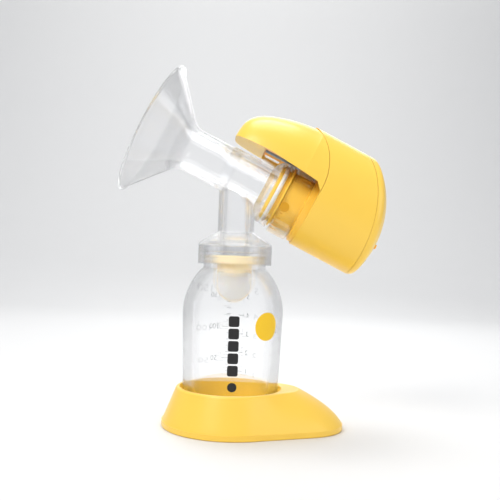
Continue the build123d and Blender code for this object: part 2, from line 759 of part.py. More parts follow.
def pin(name, centre, radius, low, high):
    """Round bar along Y from low to high, centred at (u, v)."""
    with BuildPart() as bar:
        with BuildSketch(beside(high)):
            with Locations(centre):
                Circle(radius)
        extrude(amount=high - low)
        chamfer(bar.edges().filter_by(GeomType.CIRCLE), min(0.2, radius / 5))
    save(bar, name)


wrist_reach = piston_radius - 0.6
pin("wrist_pin", (u_wrist, 0), pin_radius, -wrist_reach, wrist_reach)

with BuildPart() as connecting_rod:
    with BuildSketch(beside(rod_thickness / 2)):
        with Locations((u_wrist, 0), (u_crank_pin, 0)):
            Circle(rod_eye)
        with Locations(((u_wrist + u_crank_pin) / 2, 0)):
            Rectangle(rod_length, rod_beam)
        with Locations((u_wrist, 0), (u_crank_pin, 0)):
            Circle(pin_radius + running_gap, mode=Mode.SUBTRACT)
    extrude(amount=rod_thickness)
save(connecting_rod, "connecting_rod")

# ================================================================ gear train
stage_two_high = stage_two_low + crank_gear_width
stage_one_high = stage_one_low + stage_one_width
plate_high = plate_low + chassis_plate
crank_pin_low = rod_thickness / 2 + layer_gap
half_tooth = 180.0

with BuildPart() as crank_gear:
    with BuildSketch(beside(stage_two_high)):
        Polygon(*gear_points(crank_teeth, crank_centre, train_angle), align=None)
        with Locations(crank_centre):
            Circle(shaft_radius, mode=Mode.SUBTRACT)
        with Locations((u_crank_pin, 0)):
            Circle(pin_radius, mode=Mode.SUBTRACT)
    extrude(amount=crank_gear_width)
save(crank_gear, "crank_gear")
pin("crank_pin", (u_crank_pin, 0), pin_radius, crank_pin_low, stage_two_high)
pin("crank_shaft", crank_centre, shaft_radius, stage_two_low, plate_high)

small_phase = train_angle + half_tooth + half_tooth / idler_small_teeth
large_phase = train_angle + half_tooth / idler_large_teeth
with BuildPart() as idler_gear:
    with BuildSketch(beside(stage_one_high)):
        Polygon(*gear_points(idler_large_teeth, idler_centre, large_phase), align=None)
    extrude(amount=stage_one_width)
    with BuildSketch(beside(stage_one_low)):
        Polygon(*gear_points(idler_small_teeth, idler_centre, small_phase), align=None)
    extrude(amount=stage_one_low - stage_two_low + sliding_gap)
    with BuildSketch(beside(stage_one_high)):
        with Locations(idler_centre):
            Circle(axle_radius + running_gap)
    extrude(amount=stage_one_high, mode=Mode.SUBTRACT)
save(idler_gear, "idler_gear")
pin("idler_axle", idler_centre, axle_radius, stage_two_low - 2 * sliding_gap, plate_high)

with BuildPart() as motor_pinion:
    with BuildSketch(beside(stage_one_high)):
        Polygon(*gear_points(pinion_teeth, motor_centre, train_angle + half_tooth), align=None)
        with Locations(motor_centre):
            Circle(motor_shaft_radius, mode=Mode.SUBTRACT)
    extrude(amount=stage_one_width)
save(motor_pinion, "motor_pinion")
motor_boss = 1.5
pin("motor_shaft", motor_centre, motor_shaft_radius, motor_face - 1, stage_one_high + layer_gap)

with BuildPart() as motor:
    with BuildSketch(beside(motor_face)):
        with Locations(motor_centre):
            Circle(motor_radius)
            Rectangle(2 * motor_radius, 2 * motor_flat, mode=Mode.INTERSECT)
    extrude(amount=motor_length)
    with BuildSketch(beside(motor_face + motor_boss)):
        with Locations(motor_centre):
            Circle(3.0)
    extrude(amount=motor_boss)
    with BuildSketch(beside(motor_face + motor_boss)):
        with Locations(motor_centre):
            Circle(motor_shaft_radius + running_gap)
    extrude(amount=motor_boss + 1 + sliding_gap, mode=Mode.SUBTRACT)
save(motor, "motor")

foot_width = 4.0
foot_thickness = 2.0
with BuildPart() as gear_chassis:
    with BuildSketch(beside(plate_high)):
        with Locations(crank_centre, idler_centre):
            Circle(5.0)
        with Locations(motor_centre):
            Circle(5.5)
        with Locations((u_foot + 1, -4), (u_foot + 1, 12)):
            Circle(1.0)
        make_hull()
        with Locations(crank_centre):
            Circle(shaft_radius + running_gap, mode=Mode.SUBTRACT)
        with Locations(idler_centre):
            Circle(axle_radius, mode=Mode.SUBTRACT)
    extrude(amount=chassis_plate)
    # foot on the cylinder's flange
    with BuildSketch(across(u_foot, 4)):
        with Locations((plate_high - foot_width / 2, 0)):
            Rectangle(foot_width, 17)
    extrude(amount=foot_thickness)
    for screw_y, screw_v in chassis_screw_places[:2]:
        with BuildSketch(across(u_foot - 1, screw_v)):
            with Locations((screw_y, 0)):
                Circle(small_screw_radius)
        extrude(amount=4, mode=Mode.SUBTRACT)
        with BuildSketch(across(u_foot + foot_thickness, screw_v)):
            with Locations((screw_y, 0)):
                Circle(small_screw_head + sliding_gap)
        extrude(amount=4, mode=Mode.SUBTRACT)
    # plate that the motor's face is fixed to, and the web that joins it
    with BuildSketch(beside(motor_face + motor_boss)):
        with Locations(motor_centre):
            Circle(8.0)
            Circle(3.0, mode=Mode.SUBTRACT)
    extrude(amount=motor_boss)
    with BuildSketch(beside(plate_high)):
        with Locations((motor_centre[0] - 2.5, motor_centre[1] + 4.8)):
            Rectangle(7, 1.4)
    extrude(amount=plate_high - motor_face)
save(gear_chassis, "gear_chassis")

with BuildPart() as chassis_screws:
    for screw_y, screw_v in chassis_screw_places:
        seat = u_foot + (foot_thickness if screw_y > 0 else 0)
        with BuildSketch(across(u_body - 2, screw_v)):
            with Locations((screw_y, 0)):
                Circle(small_screw_radius)
        extrude(amount=seat - u_body + 2)
        with BuildSketch(across(seat, screw_v)):
            with Locations((screw_y, 0)):
                Circle(small_screw_head)
        extrude(amount=1.2)
save(chassis_screws, "chassis_screws")

# ================================================================ batteries, tray and contacts
with BuildPart() as battery_tray:
    tray_half = cell_spacing / 2 + cell_radius + tray_wall
    with BuildSketch(beside(tray_half)):
        with BuildLine():
            Polyline((u_cell - 2 * contact_thickness - tray_wall, tray_bottom),
                     (u_cell_end + contact_thickness + tray_wall, tray_bottom),
                     (u_cell_end + contact_thickness + tray_wall, cell_v),
                     (u_cell - 2 * contact_thickness - tray_wall, cell_v), close=True)
        make_face()
    extrude(amount=2 * tray_half)
    for side in (-1, 1):
        with BuildSketch(across(u_cell - 2 * contact_thickness, cell_v)):
            with Locations((side * cell_spacing / 2, 0)):
                Circle(cell_radius)
        extrude(amount=u_cell_end - u_cell + 3 * contact_thickness, mode=Mode.SUBTRACT)
    with BuildSketch(across(u_cell - 2 * contact_thickness, cell_v)):
        Rectangle(cell_spacing, 4)
    extrude(amount=2 * contact_thickness, mode=Mode.SUBTRACT)
    with BuildSketch(across(u_skirt - pull_room)):
        Circle(ring_radius + tray_relief)
    extrude(amount=u_cell_end - u_skirt + pull_room + cell_radius, mode=Mode.SUBTRACT)
save(battery_tray, "battery_tray")


def battery(name, side, forward):
    """One round cell; its button is at the front end when forward is True."""
    start = u_cell + (cell_button if forward else 0)
    button = u_cell if forward else start + cell_length
    with BuildPart() as cell:
        with BuildSketch(across(start, cell_v)):
            with Locations((side * cell_spacing / 2, 0)):
                Circle(cell_radius)
        extrude(amount=cell_length)
        fillet(cell.edges().filter_by(GeomType.CIRCLE), 0.5)
        with BuildSketch(across(button, cell_v)):
            with Locations((side * cell_spacing / 2, 0)):
                Circle(2.7)
        extrude(amount=cell_button)
    save(cell, name)


battery("battery_left", -1, True)
battery("battery_right", 1, False)

with BuildPart() as front_contact:
    with BuildSketch(across(u_cell - 2 * contact_thickness, cell_v)):
        with Locations((-cell_spacing / 2, 0), (cell_spacing / 2, 0)):
            Circle(cell_radius - 1.5)
        Rectangle(cell_spacing, 3)
        Rectangle(cell_spacing * 2, cell_spacing, align=(Align.CENTER, Align.CENTER), mode=Mode.INTERSECT)
    extrude(amount=contact_thickness)
    with BuildSketch(across(u_cell - contact_thickness, cell_v)):
        with Locations((-cell_spacing / 2, 0), (cell_spacing / 2, 0)):
            Circle(3.2)
    extrude(amount=contact_thickness)
save(front_contact, "front_contact")

with BuildPart() as rear_contacts:
    with BuildSketch(across(u_cell_end, cell_v)):
        with Locations((-cell_spacing / 2, 0), (cell_spacing / 2, 0)):
            Circle(cell_radius - 1.5)
    extrude(amount=contact_thickness)
save(rear_contacts, "rear_contacts")

# ================================================================ electrics
with BuildPart() as circuit_board:
    with BuildSketch(across(u_board, 5)):
        with Locations((-4, 0)):
            Rectangle(20, 18)
    extrude(amount=board_thickness)
    for part_y, part_v, part_width, part_height in ((-9, 9, 5, 4), (-3, 10, 3, 2), (2, 9, 3, 3), (-10, 2, 3, 5)):
        with BuildSketch(across(u_board - 1.2, part_v)):
            with Locations((part_y, 0)):
                Rectangle(part_width, part_height)
        extrude(amount=1.2)
save(circuit_board, "circuit_board")

u_switch = u_board + board_thickness
with BuildPart() as slide_switch:
    with BuildSketch(across(u_switch, knob_v)):
        Rectangle(9, 5)
    extrude(amount=switch_depth)
save(slide_switch, "slide_switch")

u_knob = u_switch + switch_depth + running_gap
with BuildPart() as switch_knob:
    with BuildSketch(across(u_knob, knob_v)):
        with Locations((-knob_travel / 2, 0)):
            Rectangle(knob_width, knob_height)
    extrude(amount=u_knob_top - u_knob)
    fillet(switch_knob.faces().sort_by(pump_axis)[-1].edges(), 0.6)
save(switch_knob, "switch_knob")

u_snout = u_dome + math.sqrt((dome_radius - shell_wall) ** 2 - inlet_y ** 2 - inlet_v ** 2) - sliding_gap * 2
with BuildPart() as dc_inlet:
    with BuildSketch(across(u_inlet, inlet_v)):
        with Locations((inlet_y, 0)):
            Rectangle(inlet_size, inlet_size)
    extrude(amount=u_snout - u_inlet - 2)
    with BuildSketch(across(u_inlet, inlet_v)):
        with Locations((inlet_y, 0)):
            Circle(inlet_snout)
    extrude(amount=u_snout - u_inlet + shell_wall - 0.4)
    with BuildSketch(across(u_inlet + 2, inlet_v)):
        with Locations((inlet_y, 0)):
            Circle(inlet_bore)
            Circle(0.65, mode=Mode.SUBTRACT)
    extrude(amount=2 * inlet_size, mode=Mode.SUBTRACT)
save(dc_inlet, "dc_inlet")
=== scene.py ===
import json
import math

import bpy
from mathutils import Matrix, Vector


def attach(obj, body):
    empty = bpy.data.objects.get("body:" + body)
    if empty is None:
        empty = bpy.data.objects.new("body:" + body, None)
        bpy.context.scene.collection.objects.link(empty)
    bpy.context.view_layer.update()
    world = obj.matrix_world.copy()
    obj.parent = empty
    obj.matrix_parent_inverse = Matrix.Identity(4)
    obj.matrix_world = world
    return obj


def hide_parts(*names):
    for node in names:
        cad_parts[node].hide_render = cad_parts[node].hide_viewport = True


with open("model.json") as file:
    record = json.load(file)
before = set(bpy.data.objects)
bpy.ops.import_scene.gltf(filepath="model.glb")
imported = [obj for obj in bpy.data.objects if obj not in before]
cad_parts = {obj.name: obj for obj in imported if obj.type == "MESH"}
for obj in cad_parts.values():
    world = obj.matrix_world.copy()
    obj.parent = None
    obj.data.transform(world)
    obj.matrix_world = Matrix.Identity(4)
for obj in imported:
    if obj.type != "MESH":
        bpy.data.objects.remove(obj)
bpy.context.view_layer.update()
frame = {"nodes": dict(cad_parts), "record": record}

bl_info = {
    "name": "Breast Pump Looks",
    "version": (1, 0, 0),
    "blender": (4, 5, 0),
    "location": "View3D > Sidebar > Breast Pump",
    "description": "Builds the surfaces, printed marks and studio of an electric breast pump",
    "category": "Object",
}

MM = 0.001
CURVE_STEPS = 160
AXIS_GAP = 0.01                     # a profile starts this far from its axis, in millimetres
SMOOTH_UNDER = math.radians(40)     # edges sharper than this stay crisp

# The pump axis slopes down towards the motor unit. Along it, u counts from the shield's rim
# and v stands square to it, as in the part's own frame.
PUMP_TILT = math.radians(26.0)
PUMP_HEIGHT = 150.0 * MM    # where the pump axis crosses the bottle's axis
LEG_PLACE = 58.4 * MM       # from the shield's rim to that crossing
ALONG = Vector((math.cos(PUMP_TILT), 0.0, -math.sin(PUMP_TILT)))
SQUARE = Vector((math.sin(PUMP_TILT), 0.0, math.cos(PUMP_TILT)))
RIM_CENTRE = Vector((0.0, 0.0, PUMP_HEIGHT)) - ALONG * LEG_PLACE


def place(u, v):
    """Point at u along the pump axis and v square to it, from millimetres."""
    return RIM_CENTRE + (ALONG * u + SQUARE * v) * MM


# ------------------------------------------------------------------ modelling helpers
def deselect_all():
    if bpy.context.object and bpy.context.object.mode != "OBJECT":
        bpy.ops.object.mode_set(mode="OBJECT")
    bpy.ops.object.select_all(action="DESELECT")


def activate(piece):
    deselect_all()
    piece.select_set(True)
    bpy.context.view_layer.objects.active = piece


def spun_piece(name, profile, centre, axis):
    """Solid of revolution: a vertex is drawn round a closed profile, and that line is spun."""
    deselect_all()
    bpy.ops.mesh.primitive_plane_add(size=MM, enter_editmode=True, location=(0, 0, 0))
    piece = bpy.context.object
    piece.name = name
    bpy.ops.mesh.select_all(action="SELECT")
    bpy.ops.mesh.merge(type="CENTER")
    bpy.ops.transform.translate(value=profile[0])
    outline = [*profile, profile[0]]
    for start, end in zip(outline, outline[1:]):
        bpy.ops.mesh.extrude_region_move(TRANSFORM_OT_translate={"value": end - start})
    bpy.ops.mesh.select_all(action="SELECT")
    bpy.ops.mesh.remove_doubles(threshold=1e-6)
    bpy.ops.mesh.spin(steps=CURVE_STEPS, angle=2 * math.pi, center=centre, axis=axis)
    bpy.ops.mesh.select_all(action="SELECT")
    bpy.ops.mesh.remove_doubles(threshold=2e-6)
    bpy.ops.mesh.normals_make_consistent(inside=False)
    bpy.ops.object.mode_set(mode="OBJECT")
    bpy.ops.object.shade_smooth_by_angle(angle=SMOOTH_UNDER)
    return piece


def arc(centre, radius, start, end, steps):
    """Points of an arc in (radius, height) terms, angles in degrees."""
    angles = [math.radians(start + (end - start) * step / steps) for step in range(steps + 1)]
    return [(centre[0] + radius * math.cos(angle), centre[1] + radius * math.sin(angle)) for angle in angles]


# ------------------------------------------------------------------ shader helpers
def group_socket(group, name, in_out, kind, value=None):
    socket = group.interface.new_socket(name=name, in_out=in_out, socket_type=kind)
    if value is not None:
        socket.default_value = value


def linked(tree, kind, inputs=None, **settings):
    """A node with its settings; an input is a value or another node's output."""
    node = tree.nodes.new(kind)
    for key, value in settings.items():
        setattr(node, key, value)
    for key, value in (inputs or {}).items():
        if isinstance(value, bpy.types.NodeSocket):
            tree.links.new(value, node.inputs[key])
        else:
            node.inputs[key].default_value = value
    return node


TONE_SCALE = 22.0           # slow changes of tone, in cells to the metre
WAVE_SCALE = 160.0          # the mould's faint waves
GRAIN_SCALE = 1400.0        # the mould's fine grain
HAIRLINE_STRETCH = (90.0, 1600.0, 420.0)
HAIRLINE_TURN = (0.4, 0.9, 0.3)
TONE_IN_SHEEN = 0.035
RELIEF = 0.00006            # depth of the grain in metres


def moulded_surface_group():
    """Moulded plastic: slow tone changes, fine grain, and hairlines that show in the sheen."""
    if "moulded_surface" in bpy.data.node_groups:
        return bpy.data.node_groups["moulded_surface"]
    group = bpy.data.node_groups.new("moulded_surface", "ShaderNodeTree")
    group_socket(group, "Colour", "INPUT", "NodeSocketColor", (0.8, 0.8, 0.8, 1))
    group_socket(group, "Roughness", "INPUT", "NodeSocketFloat", 0.4)
    group_socket(group, "Mottle", "INPUT", "NodeSocketFloat", 0.05)
    group_socket(group, "Grain", "INPUT", "NodeSocketFloat", 0.1)
    group_socket(group, "Hairlines", "INPUT", "NodeSocketFloat", 0.1)
    group_socket(group, "Colour", "OUTPUT", "NodeSocketColor")
    group_socket(group, "Roughness", "OUTPUT", "NodeSocketFloat")
    group_socket(group, "Normal", "OUTPUT", "NodeSocketVector")
    given = group.nodes.new("NodeGroupInput").outputs
    result = group.nodes.new("NodeGroupOutput").inputs
    place_on = linked(group, "ShaderNodeTexCoord").outputs["Object"]
    slow = linked(group, "ShaderNodeTexNoise", {"Vector": place_on, "Scale": TONE_SCALE, "Detail": 3.0})
    fine = linked(group, "ShaderNodeTexNoise", {"Vector": place_on, "Scale": GRAIN_SCALE, "Detail": 2.0})
    waves = linked(group, "ShaderNodeTexNoise", {"Vector": place_on, "Scale": WAVE_SCALE, "Detail": 1.0})
    stretched = linked(group, "ShaderNodeMapping", {
        "Vector": place_on, "Scale": HAIRLINE_STRETCH, "Rotation": HAIRLINE_TURN})
    lines = linked(group, "ShaderNodeTexNoise", {
        "Vector": stretched.outputs[0], "Scale": 1.0, "Detail": 4.0})
    line_mask = linked(group, "ShaderNodeMapRange", {
        "Value": lines.outputs["Fac"], "From Min": 0.60, "From Max": 0.72, "To Min": 0.0, "To Max": 1.0})
    tone = linked(group, "ShaderNodeMapRange", {
        "Value": slow.outputs["Fac"], "From Min": 0.3, "From Max": 0.7, "To Min": -1.0, "To Max": 1.0})
    amount = linked(group, "ShaderNodeMath", {
        0: tone.outputs[0], 1: given["Mottle"]}, operation="MULTIPLY")
    value = linked(group, "ShaderNodeMath", {0: amount.outputs[0], 1: 1.0}, operation="ADD")
    shaded = linked(group, "ShaderNodeHueSaturation", {
        "Color": given["Colour"], "Value": value.outputs[0]})
    group.links.new(shaded.outputs[0], result["Colour"])
    sheen_lines = linked(group, "ShaderNodeMath", {
        0: line_mask.outputs[0], 1: given["Hairlines"]}, operation="MULTIPLY")
    sheen_slow = linked(group, "ShaderNodeMath", {
        0: tone.outputs[0], 1: TONE_IN_SHEEN}, operation="MULTIPLY")
    sheen = linked(group, "ShaderNodeMath", {
        0: sheen_lines.outputs[0], 1: sheen_slow.outputs[0]}, operation="ADD")
    rough = linked(group, "ShaderNodeMath", {
        0: sheen.outputs[0], 1: given["Roughness"]}, operation="ADD", use_clamp=True)
    group.links.new(rough.outputs[0], result["Roughness"])
    relief = linked(group, "ShaderNodeMath", {
        0: waves.outputs["Fac"], 1: fine.outputs["Fac"]}, operation="ADD")
    bump = linked(group, "ShaderNodeBump", {
        "Height": relief.outputs[0], "Strength": given["Grain"], "Distance": RELIEF})
    group.links.new(bump.outputs[0], result["Normal"])
    return group


SHADOW_PASSED = 0.92        # share of the light that clear plastic lets through
# painted shade: how tightly the painted dark rim of clear plastic gathers towards its edges
PAINTED_RIM_SHARPNESS = 2.6
EDGE_COVER = 0.95           # how solid clear plastic looks where it is seen edge on
CLEAR_SPECULAR = 0.3
COAT_ROUGHNESS = 0.12
SCATTER = (0.004, 0.003, 0.0015)    # how far red, green and blue spread inside, in metres


# edge is the colour of the painted dark rim on clear plastic: painted shade where the plastic is seen edge on
def plastic(name, colour, roughness, mottle=0.03, grain=0.12, hairlines=0.08, subsurface=0.0, coat=0.0,
            transmission=0.0, ior=1.49, metallic=0.0, edge=(0.012, 0.014, 0.03, 1.0), body_share=0.35):
    """One material: the shared moulded surface feeding a Principled shader."""
    # the frame's own materials carry the plain names, and the prefix keeps these apart from them
    name = "pump_" + name
    if name in bpy.data.materials:
        return bpy.data.materials[name]
    material = bpy.data.materials.new(name)
    material.use_nodes = True
    tree = material.node_tree
    shader = tree.nodes["Principled BSDF"]
    surface = tree.nodes.new("ShaderNodeGroup")
    surface.node_tree = moulded_surface_group()
    surface.inputs["Colour"].default_value = (*colour, 1.0)
    surface.inputs["Roughness"].default_value = roughness
    surface.inputs["Mottle"].default_value = mottle
    surface.inputs["Grain"].default_value = grain
    surface.inputs["Hairlines"].default_value = hairlines
    tree.links.new(surface.outputs["Colour"], shader.inputs["Base Color"])
    tree.links.new(surface.outputs["Roughness"], shader.inputs["Roughness"])
    tree.links.new(surface.outputs["Normal"], shader.inputs["Normal"])
    shader.inputs["IOR"].default_value = ior
    shader.inputs["Metallic"].default_value = metallic
    shader.inputs["Transmission Weight"].default_value = transmission
    shader.inputs["Subsurface Weight"].default_value = subsurface
    shader.inputs["Subsurface Radius"].default_value = SCATTER
    shader.inputs["Subsurface Scale"].default_value = 1.0
    shader.inputs["Coat Weight"].default_value = coat
    shader.inputs["Coat Roughness"].default_value = COAT_ROUGHNESS
    if transmission > 0.5:
        shader.inputs["Specular IOR Level"].default_value = CLEAR_SPECULAR
        # clear plastic lets most of the light through; where it is seen edge on it turns more solid and takes
        # the edge colour, a painted dark rim standing in for the dark contour that refraction gives along its
        # edges
        facing = linked(tree, "ShaderNodeLayerWeight", {"Blend": 0.5}).outputs["Facing"]
        rim = linked(tree, "ShaderNodeMath", {0: facing, 1: PAINTED_RIM_SHARPNESS}, operation="POWER")
        tint = linked(tree, "ShaderNodeMix", {
            0: rim.outputs[0], 6: surface.outputs["Colour"], 7: edge}, data_type="RGBA")
        tree.links.new(tint.outputs[2], shader.inputs["Base Color"])
        body = linked(tree, "ShaderNodeMapRange", {
            "Value": rim.outputs[0], "To Min": body_share, "To Max": EDGE_COVER})
        ray = linked(tree, "ShaderNodeLightPath").outputs["Is Shadow Ray"]
        passed = linked(tree, "ShaderNodeMath", {
            0: ray, 1: -SHADOW_PASSED, 2: 1.0}, operation="MULTIPLY_ADD")
        cover = linked(tree, "ShaderNodeMath", {
            0: body.outputs[0], 1: passed.outputs[0]}, operation="MULTIPLY")
        tree.links.new(cover.outputs[0], shader.inputs["Alpha"])
    return material


def finish_of(name):
    """The material of each finish, made the first time that it is asked for."""
    look = bpy.context.scene.pump_looks
    yellow = tuple(look.body_colour)
    clear = tuple(look.clear_tint)
    thin_clear = dict(colour=clear, roughness=0.01, transmission=1.0, ior=1.22, grain=0.003,
                      mottle=0.01, hairlines=0.02, body_share=0.34)
    recipes = {
        "yellow_plastic": dict(colour=yellow, roughness=0.34, subsurface=0.05, coat=0.1, mottle=0.02),
        # painted shade: a darker, more orange copy of the yellow plastic, for the battery tray, which sits in
        # the shaded recess under the yellow mouldings
        "deep_yellow_plastic": dict(colour=(1.0, 0.46, 0.01), roughness=0.34, mottle=0.02),
        "clear_plastic": dict(colour=clear, roughness=0.015, transmission=1.0, ior=1.32, grain=0.004,
                              mottle=0.01, hairlines=0.02, body_share=0.42),
        "shield_plastic": thin_clear,
        "bottle_plastic": thin_clear,
        # the frosted plastic's amber edge colour is the same painted rim: painted shade where it is seen edge
        # on
        "frosted_plastic": dict(colour=(1.0, 0.90, 0.60), roughness=0.05, transmission=0.97, ior=1.35,
                                grain=0.02, edge=(0.75, 0.48, 0.12, 1.0), body_share=0.4),
        "cream_plastic": dict(colour=(0.95, 0.78, 0.50), roughness=0.38, subsurface=0.3),
        "silicone": dict(colour=(0.95, 0.92, 0.85), roughness=0.33, subsurface=0.4, transmission=0.1),
        "seal_rubber": dict(colour=(0.35, 0.35, 0.36), roughness=0.6),
        "white_plastic": dict(colour=(0.84, 0.80, 0.70), roughness=0.4, subsurface=0.1),
        "grey_plastic": dict(colour=(0.30, 0.31, 0.33), roughness=0.5),
        "gear_plastic": dict(colour=(0.80, 0.78, 0.70), roughness=0.42, subsurface=0.1),
        "steel": dict(colour=(0.62, 0.62, 0.63), roughness=0.28, metallic=1.0, hairlines=0.25),
        "brass": dict(colour=(0.72, 0.50, 0.18), roughness=0.26, metallic=1.0, hairlines=0.2),
        "nickel": dict(colour=(0.66, 0.64, 0.60), roughness=0.2, metallic=1.0, hairlines=0.2),
        "board_green": dict(colour=(0.02, 0.16, 0.06), roughness=0.35, coat=0.5),
        "black_plastic": dict(colour=(0.02, 0.02, 0.022), roughness=0.42),
        "cell_wrap": dict(colour=(0.09, 0.11, 0.14), roughness=0.3, coat=0.4, metallic=0.3),
        "print_black": dict(colour=(0.012, 0.011, 0.012), roughness=0.45),
        "print_yellow": dict(colour=(1.0, 0.62, 0.004), roughness=0.4),
        "print_amber": dict(colour=(0.72, 0.34, 0.0), roughness=0.4),
        "print_grey": dict(colour=(0.10, 0.105, 0.12), roughness=0.5),
    }
    return plastic(name, **recipes[name])


def cover_with(piece, finish):
    piece.data.materials.clear()
    piece.data.materials.append(finish_of(finish))


# ------------------------------------------------------------------ settings
class PumpLooks(bpy.types.PropertyGroup):
    body_colour: bpy.props.FloatVectorProperty(
        name="Body colour", description="Colour of the yellow mouldings", subtype="COLOR",
        default=(1.0, 0.64, 0.085), min=0.0, max=1.0)
    clear_tint: bpy.props.FloatVectorProperty(
        name="Clear tint", description="Tint of the clear plastic", subtype="COLOR",
        default=(0.97, 0.975, 0.985), min=0.0, max=1.0)
    mark_depth: bpy.props.FloatProperty(
        name="Mark depth", description="How far printed marks stand off their surface",
        default=0.00006, min=0.00001, max=0.001, unit="LENGTH")
    floor_colour: bpy.props.FloatVectorProperty(
        name="Floor colour", description="Colour of the studio floor", subtype="COLOR",
        default=(0.74, 0.74, 0.735), min=0.0, max=1.0)


# ------------------------------------------------------------------ pieces
class PUMP_OT_frame_finishes(bpy.types.Operator):
    """Gives every part of the frame the procedural material of its finish"""
    bl_idname = "pump.frame_finishes"
    bl_label = "Finish the frame's parts"

    def execute(self, context):
        for entry in frame["record"]["subparts"]:
            node = frame["nodes"][entry["node"]]
            cover_with(node, entry["material_slot"])
        return {"FINISHED"}


BOTTLE_BASE = 5.4
BOTTLE_BASE_RADIUS = 28.0
BOTTLE_RADIUS = 29.9
BOTTLE_WIDEST = 67.0
BOTTLE_WALL = 1.6
SHOULDER_CURVE = 37.8
NECK_RADIUS = 18.6
NECK_START = 94.4
BOTTLE_LIP = 106.6
THREADS = (98.5, 101.9)     # heights where the neck's two thread rings start
THREAD_HEIGHT = 0.9
BASE_ROUND = 4.5
FOOT_RING = 19.0            # the base stands on a ring, and rises a little inside it
SHOULDER_CENTRE = (BOTTLE_RADIUS - SHOULDER_CURVE, BOTTLE_WIDEST)


def shoulder_angle(radius, curve):
    return math.degrees(math.acos((radius - SHOULDER_CENTRE[0]) / curve))


def bottle_outside(height):
    """Outer radius of the bottle at a height, up to the neck."""
    if height < BOTTLE_WIDEST:
        share = (height - BOTTLE_BASE) / (BOTTLE_WIDEST - BOTTLE_BASE)
        return BOTTLE_BASE_RADIUS + (BOTTLE_RADIUS - BOTTLE_BASE_RADIUS) * share
    rise = height - BOTTLE_WIDEST
    return SHOULDER_CENTRE[0] + math.sqrt(SHOULDER_CURVE ** 2 - rise ** 2)


class PUMP_OT_bottle(bpy.types.Operator):
    """Spins the clear bottle with its rounded base, shoulder, neck threads and lip"""
    bl_idname = "pump.bottle"
    bl_label = "Bottle"

    def execute(self, context):
        inside_ring = FOOT_RING - 3.0
        outer = [(AXIS_GAP, BOTTLE_BASE + 1.0), (inside_ring, BOTTLE_BASE + 0.7), (FOOT_RING, BOTTLE_BASE)]
        outer += arc((BOTTLE_BASE_RADIUS - BASE_ROUND, BOTTLE_BASE + BASE_ROUND), BASE_ROUND, -90, 0, 8)
        outer += [(BOTTLE_RADIUS - 0.25, BOTTLE_WIDEST - 8)]
        neck_foot = shoulder_angle(NECK_RADIUS + 1.2, SHOULDER_CURVE)
        outer += arc(SHOULDER_CENTRE, SHOULDER_CURVE, 0, neck_foot, 18)
        outer += [(NECK_RADIUS + 0.3, NECK_START - 1.2), (NECK_RADIUS, NECK_START)]
        for thread in THREADS:
            outer += [(NECK_RADIUS, thread), (NECK_RADIUS + THREAD_HEIGHT, thread + 0.5),
                      (NECK_RADIUS + THREAD_HEIGHT, thread + 1.0), (NECK_RADIUS, thread + 1.4)]
        lip_round = BOTTLE_WALL / 2
        outer += arc((NECK_RADIUS - lip_round, BOTTLE_LIP - lip_round), lip_round, 0, 180, 6)
        curve = SHOULDER_CURVE - BOTTLE_WALL
        inner = arc(SHOULDER_CENTRE, curve, shoulder_angle(NECK_RADIUS - BOTTLE_WALL, curve), 0, 18)
        inner_round = 5.0
        inner_base = BOTTLE_BASE + BOTTLE_WALL
        corner = (BOTTLE_BASE_RADIUS - BOTTLE_WALL - inner_round, inner_base + inner_round)
        inner += arc(corner, inner_round, 0, -90, 8)
        inner += [(inside_ring, inner_base + 0.2), (AXIS_GAP, inner_base + 0.8)]
        profile = [Vector((radius, 0.0, height)) * MM for radius, height in outer + inner]
        bottle = spun_piece("bottle_clear", profile, (0, 0, 0), (0, 0, 1))
        cover_with(bottle, "bottle_plastic")
        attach(bottle, "bottle")
        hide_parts("bottle")
        return {"FINISHED"}


TUNNEL_OUTER = 13.2
TUNNEL_BORE = 11.7
SPIGOT_BORE = 10.2
TUNNEL_STEP = 49.4          # where the tunnel's outside steps down to the spigot
SPIGOT_END = 55.3
RIM_OUTER = 41.0


class PUMP_OT_shield(bpy.types.Operator):
    """Spins the breast shield: thin rolled rim, straight funnel, tunnel and spigot"""
    bl_idname = "pump.shield"
    bl_label = "Breast shield"

    def execute(self, context):
        back = [(1.7, RIM_OUTER - 0.4), (2.1, RIM_OUTER - 1.4), (2.9, RIM_OUTER - 3.4), (21.0, 16.6)]
        back += [(22.6, 14.9), (24.4, 13.8), (26.5, 13.3), (28.5, TUNNEL_OUTER), (TUNNEL_STEP, TUNNEL_OUTER)]
        spigot = [(TUNNEL_STEP, TUNNEL_BORE), (SPIGOT_END - 0.5, TUNNEL_BORE)]
        spigot += [(SPIGOT_END, TUNNEL_BORE - 0.5), (SPIGOT_END, SPIGOT_BORE)]
        spigot += [(TUNNEL_STEP - 3.0, SPIGOT_BORE), (TUNNEL_STEP - 5.0, TUNNEL_BORE)]
        front = [(26.5, TUNNEL_BORE), (24.6, 12.2), (22.4, 13.6), (20.0, 16.1), (1.4, RIM_OUTER - 3.6),
                 (0.5, RIM_OUTER - 1.8), (0.05, RIM_OUTER - 0.4)]
        rim = [(0.3, RIM_OUTER - 0.05), (0.9, RIM_OUTER), (1.4, RIM_OUTER - 0.05)]
        profile = [place(u, v) for u, v in back + spigot + front + rim]
        shield = spun_piece("shield_clear", profile, RIM_CENTRE, ALONG)
        cover_with(shield, "shield_plastic")
        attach(shield, "breast_shield")
        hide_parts("breast_shield")
        return {"FINISHED"}


